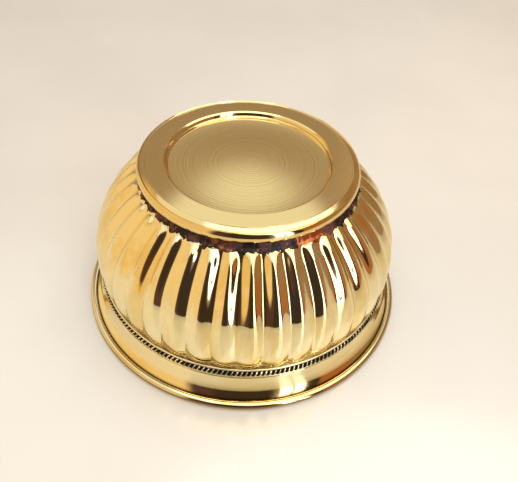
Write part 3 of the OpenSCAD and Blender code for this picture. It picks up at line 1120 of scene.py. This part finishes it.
FLOOR_R = 4.0
FLOOR_FRONT = 0.3
FLOOR_GAP = 0.02 * MM
SOFTBOX_PLACE = mm(250, -150, 900)
SOFTBOX_SIZE = 1.3
SOFTBOX_POWER = 6.5
SOFTBOX_COLOUR = (1.0, 0.96, 0.9)
CAMERA_TARGET = mm(6.95, 0.0, 27.26)


def add_floor(colour):
    """A wide round floor just under the rim, which ends a short way in front of the camera's foot."""
    build = bmesh.new()
    bmesh.ops.create_circle(build, cap_ends=True, segments=96, radius=FLOOR_R)
    mesh = bpy.data.meshes.new("floor")
    build.to_mesh(mesh)
    build.free()
    floor = bpy.data.objects.new("floor", mesh)
    floor.location = (0.0, FLOOR_R - FLOOR_FRONT, -FLOOR_GAP)
    bpy.context.scene.collection.objects.link(floor)
    mesh.materials.append(floor_material(colour))


def add_camera(stage):
    """The camera looks along +Y, down at the bowl, a little to the right of its axis."""
    target = Vector(CAMERA_TARGET)
    rise, roll = stage.camera_rise, stage.camera_roll
    away = Vector((0.0, -math.cos(rise), math.sin(rise)))
    right, up = Vector((1, 0, 0)), away.cross(Vector((1, 0, 0)))
    rolled_right = right * math.cos(roll) + up * math.sin(roll)
    rolled_up = up * math.cos(roll) - right * math.sin(roll)
    data = bpy.data.cameras.new("camera")
    data.lens = stage.focal_length
    data.clip_start = 0.01
    camera = bpy.data.objects.new("camera", data)
    turn = Matrix((rolled_right, rolled_up, away)).transposed()
    camera.matrix_world = Matrix.Translation(target + away * stage.camera_distance) @ turn.to_4x4()
    bpy.context.scene.collection.objects.link(camera)
    bpy.context.scene.camera = camera


class BOWL_OT_set_stage(bpy.types.Operator):
    """Set up the floor, the studio light and the camera"""

    bl_idname = "bowl.set_stage"
    bl_label = "Set Stage"

    def execute(self, context):
        stage = context.scene.bowl_stage
        context.scene.view_settings.view_transform = "Standard"
        build_world(stage.light)
        add_softbox("top_softbox", SOFTBOX_PLACE, SOFTBOX_SIZE, SOFTBOX_POWER * stage.light, SOFTBOX_COLOUR)
        add_floor(stage.floor)
        add_camera(stage)
        return {"FINISHED"}


# ---- panel and registration ---------------------------------------------------------------------


class BOWL_PT_panel(bpy.types.Panel):
    """Steps that make the bowl, in order"""

    bl_label = "Fluted Brass Bowl"
    bl_idname = "BOWL_PT_panel"
    bl_space_type = "VIEW_3D"
    bl_region_type = "UI"
    bl_category = "Bowl"

    def draw(self, context):
        for group in (context.scene.bowl_shape, context.scene.bowl_finish, context.scene.bowl_stage):
            for name in group.__annotations__:
                self.layout.prop(group, name)
        for step in STEPS:
            self.layout.operator(step.bl_idname)


STEPS = (
    BOWL_OT_raise_body,
    BOWL_OT_spin_lip,
    BOWL_OT_draw_rim_wire,
    BOWL_OT_wind_rope_band,
    BOWL_OT_turn_foot,
    BOWL_OT_turn_disc,
    BOWL_OT_run_braze,
    BOWL_OT_set_stage,
)
GROUPS = {"bowl_shape": BowlShape, "bowl_finish": BowlFinish, "bowl_stage": BowlStage}


def register():
    for group in GROUPS.values():
        bpy.utils.register_class(group)
    for name, group in GROUPS.items():
        setattr(bpy.types.Scene, name, bpy.props.PointerProperty(type=group))
    for step in (*STEPS, BOWL_PT_panel):
        bpy.utils.register_class(step)


def unregister():
    for step in reversed((*STEPS, BOWL_PT_panel)):
        bpy.utils.unregister_class(step)
    for name in GROUPS:
        delattr(bpy.types.Scene, name)
    for group in reversed(GROUPS.values()):
        bpy.utils.unregister_class(group)


def main():
    register()
    for step in STEPS:
        area, name = step.bl_idname.split(".")
        getattr(getattr(bpy.ops, area), name)()


if __name__ == "__main__":
    main()
